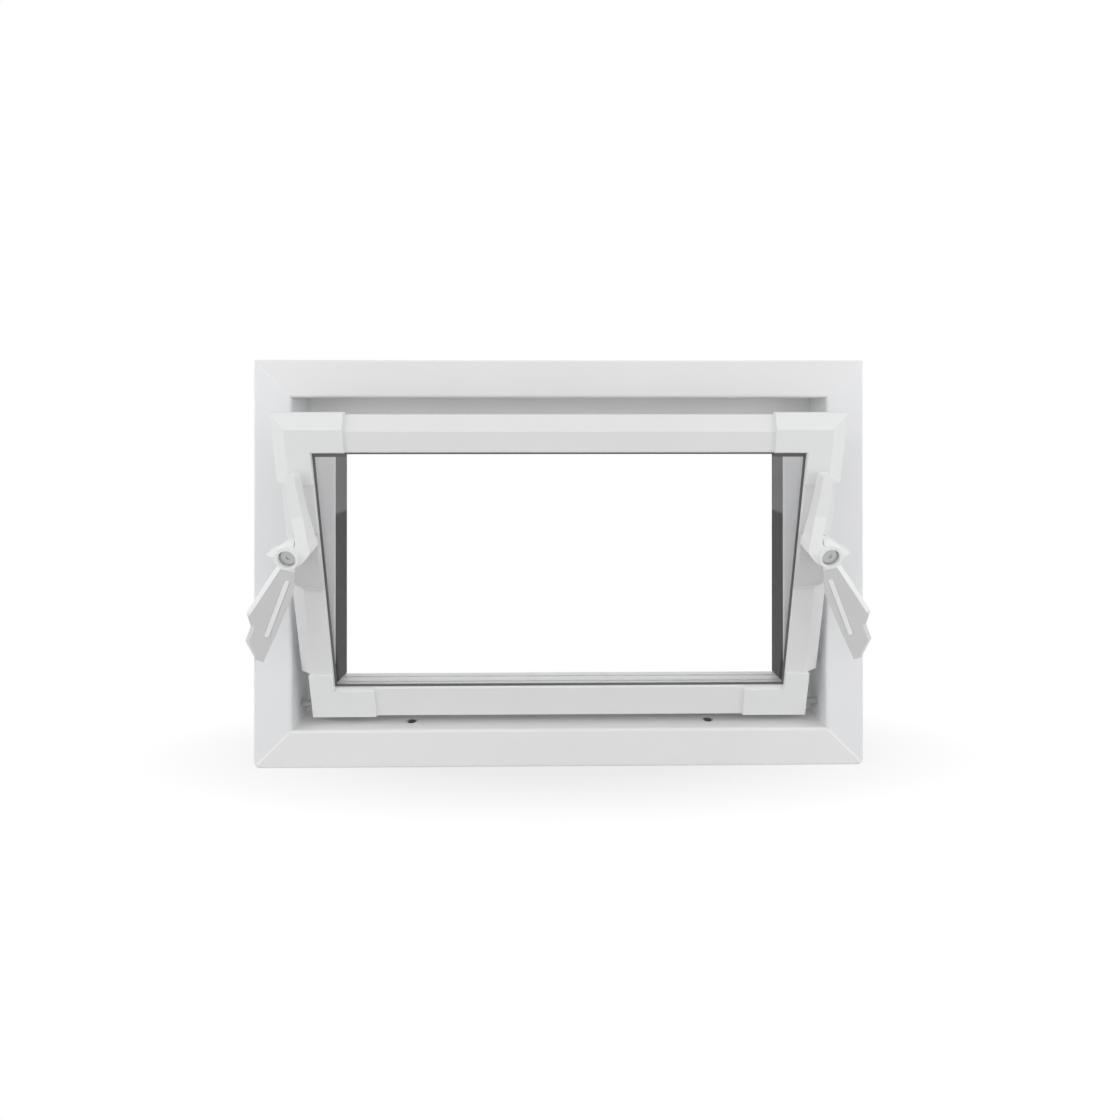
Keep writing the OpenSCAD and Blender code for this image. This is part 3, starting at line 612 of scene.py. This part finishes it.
# Glass. One clear pane, held between the two gaskets by the beads, with a faint film of dust that
# dulls its gloss here and there.
glass_finish = bpy.data.materials.new("window_glass")
glass_finish.use_nodes = True
nodes = glass_finish.node_tree.nodes
links = glass_finish.node_tree.links
shader = nodes["Principled BSDF"]
shader.inputs["Base Color"].default_value = (1.0, 1.0, 1.0, 1.0)
shader.inputs["IOR"].default_value = 1.45
shader.inputs["Transmission Weight"].default_value = 1.0
glass_place = nodes.new("ShaderNodeTexCoord")
glass_film = nodes.new("ShaderNodeTexNoise")
glass_film.inputs["Scale"].default_value = 6.0
glass_film.inputs["Detail"].default_value = 3.0
glass_range = nodes.new("ShaderNodeMapRange")
glass_range.inputs["To Min"].default_value = 0.0
glass_range.inputs["To Max"].default_value = 0.02
links.new(glass_place.outputs["Object"], glass_film.inputs["Vector"])
links.new(glass_film.outputs["Fac"], glass_range.inputs["Value"])
links.new(glass_range.outputs["Result"], shader.inputs["Roughness"])
bpy.data.objects["glass_pane"].material_slots[0].material = glass_finish

# Lever screws. One screw through each lever's boss, of zinc plated steel with a brushed grain,
# holds the lever on its base.
metal_finish = bpy.data.materials.new("plated_steel")
metal_finish.use_nodes = True
nodes = metal_finish.node_tree.nodes
links = metal_finish.node_tree.links
shader = nodes["Principled BSDF"]
shader.inputs["Metallic"].default_value = 1.0
marks = nodes.new("ShaderNodeGroup")
marks.node_tree = skin_marks
marks.inputs["Stretch"].default_value = (600.0, 80.0, 600.0)
marks.inputs["Colour"].default_value = (0.50, 0.51, 0.515, 1.0)
marks.inputs["Shaded Colour"].default_value = (0.44, 0.45, 0.455, 1.0)
marks.inputs["Lowest Roughness"].default_value = 0.28
links.new(marks.outputs["Colour Out"], shader.inputs["Base Color"])
links.new(marks.outputs["Roughness Out"], shader.inputs["Roughness"])
for part in ("lever_screw_left", "lever_screw_right"):
    bpy.data.objects[part].material_slots[0].material = metal_finish

# Hinge pins. Steel pins painted a warm mid grey, painted shade to match the shade of the side gap
# they cross; they turn in the white bushes that are pressed flush into the jambs.
pin_painted_shade_finish = bpy.data.materials.new("pin_painted_shade_grey")
pin_painted_shade_finish.use_nodes = True
nodes = pin_painted_shade_finish.node_tree.nodes
links = pin_painted_shade_finish.node_tree.links
shader = nodes["Principled BSDF"]
marks = nodes.new("ShaderNodeGroup")
marks.node_tree = skin_marks
marks.inputs["Stretch"].default_value = (300.0, 300.0, 300.0)
# A warm mid grey that matches the shade of the side gap: painted shade.
marks.inputs["Colour"].default_value = (0.42, 0.415, 0.405, 1.0)
marks.inputs["Shaded Colour"].default_value = (0.39, 0.385, 0.375, 1.0)
marks.inputs["Lowest Roughness"].default_value = 0.45
links.new(marks.outputs["Colour Out"], shader.inputs["Base Color"])
links.new(marks.outputs["Roughness Out"], shader.inputs["Roughness"])
for part in ("hinge_pin_left", "hinge_pin_right"):
    bpy.data.objects[part].material_slots[0].material = pin_painted_shade_finish

# Hole shade. A short tube lines each fixing hole of the bottom rail, a little below the rebate's
# floor. Its bore is dark, painted shade for the shadow deep in the hole, and its rim is pale.
hole_shade_finish = bpy.data.materials.new("hole_painted_shade")
hole_shade_finish.use_nodes = True
nodes = hole_shade_finish.node_tree.nodes
links = hole_shade_finish.node_tree.links
shader = nodes["Principled BSDF"]
marks = nodes.new("ShaderNodeGroup")
marks.node_tree = skin_marks
marks.inputs["Stretch"].default_value = (300.0, 300.0, 60.0)
# The bore is painted dark: painted shade for the shadow in the hole.
marks.inputs["Colour"].default_value = (0.17, 0.168, 0.165, 1.0)
marks.inputs["Shaded Colour"].default_value = (0.20, 0.198, 0.195, 1.0)
marks.inputs["Lowest Roughness"].default_value = 0.5
rim_marks = nodes.new("ShaderNodeGroup")
rim_marks.node_tree = skin_marks
rim_marks.inputs["Stretch"].default_value = (300.0, 300.0, 300.0)
rim_marks.inputs["Colour"].default_value = (0.64, 0.64, 0.635, 1.0)
rim_marks.inputs["Shaded Colour"].default_value = (0.58, 0.58, 0.575, 1.0)
rim_marks.inputs["Lowest Roughness"].default_value = 0.5
hole_shade_place = nodes.new("ShaderNodeTexCoord")
hole_shade_axes = nodes.new("ShaderNodeSeparateXYZ")
links.new(hole_shade_place.outputs["Object"], hole_shade_axes.inputs[0])
rim_low = 0.0357
rim_full = 0.0360
rim_here = nodes.new("ShaderNodeMapRange")
rim_here.inputs["From Min"].default_value = rim_low
rim_here.inputs["From Max"].default_value = rim_full
links.new(hole_shade_axes.outputs["Z"], rim_here.inputs["Value"])
hole_shade_tint = nodes.new("ShaderNodeMix")
hole_shade_tint.data_type = "RGBA"
links.new(rim_here.outputs["Result"], hole_shade_tint.inputs["Factor"])
links.new(marks.outputs["Colour Out"], hole_shade_tint.inputs["A"])
links.new(rim_marks.outputs["Colour Out"], hole_shade_tint.inputs["B"])
links.new(hole_shade_tint.outputs["Result"], shader.inputs["Base Color"])
links.new(marks.outputs["Roughness Out"], shader.inputs["Roughness"])
hole_x = 0.150
hole_y = -0.015
shade_tube_bore = 0.0041
shade_tube_outside = 0.0060
shade_tube_low = 0.012
shade_tube_high = 0.0362
rim_cut = 0.0003
shade_tube_section = (
    (shade_tube_bore, shade_tube_low),
    (shade_tube_outside, shade_tube_low),
    (shade_tube_outside, shade_tube_high - rim_cut),
    (shade_tube_outside - rim_cut, shade_tube_high),
    (shade_tube_bore + rim_cut, shade_tube_high),
    (shade_tube_bore, shade_tube_high - rim_cut),
)
for name, side in (("fixing_sleeve_left", -1), ("fixing_sleeve_right", 1)):
    shade_tube = bmesh.new()
    ring = [shade_tube.verts.new((side * hole_x + r, hole_y, z)) for r, z in shade_tube_section]
    walls = [shade_tube.edges.new((ring[i], ring[(i + 1) % len(ring)])) for i in range(len(ring))]
    bmesh.ops.spin(
        shade_tube, geom=ring + walls, cent=(side * hole_x, hole_y, 0.0), axis=(0.0, 0.0, 1.0),
        angle=math.radians(360.0), steps=48, use_merge=True,
    )
    bmesh.ops.remove_doubles(shade_tube, verts=shade_tube.verts, dist=0.00001)
    bmesh.ops.recalc_face_normals(shade_tube, faces=shade_tube.faces)
    shade_tube_mesh = bpy.data.meshes.new(name)
    shade_tube.to_mesh(shade_tube_mesh)
    shade_tube.free()
    shade_tube_mesh.materials.append(hole_shade_finish)
    shade_tube_piece = bpy.data.objects.new(name, shade_tube_mesh)
    bpy.context.scene.collection.objects.link(shade_tube_piece)
    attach(shade_tube_piece, "frame")
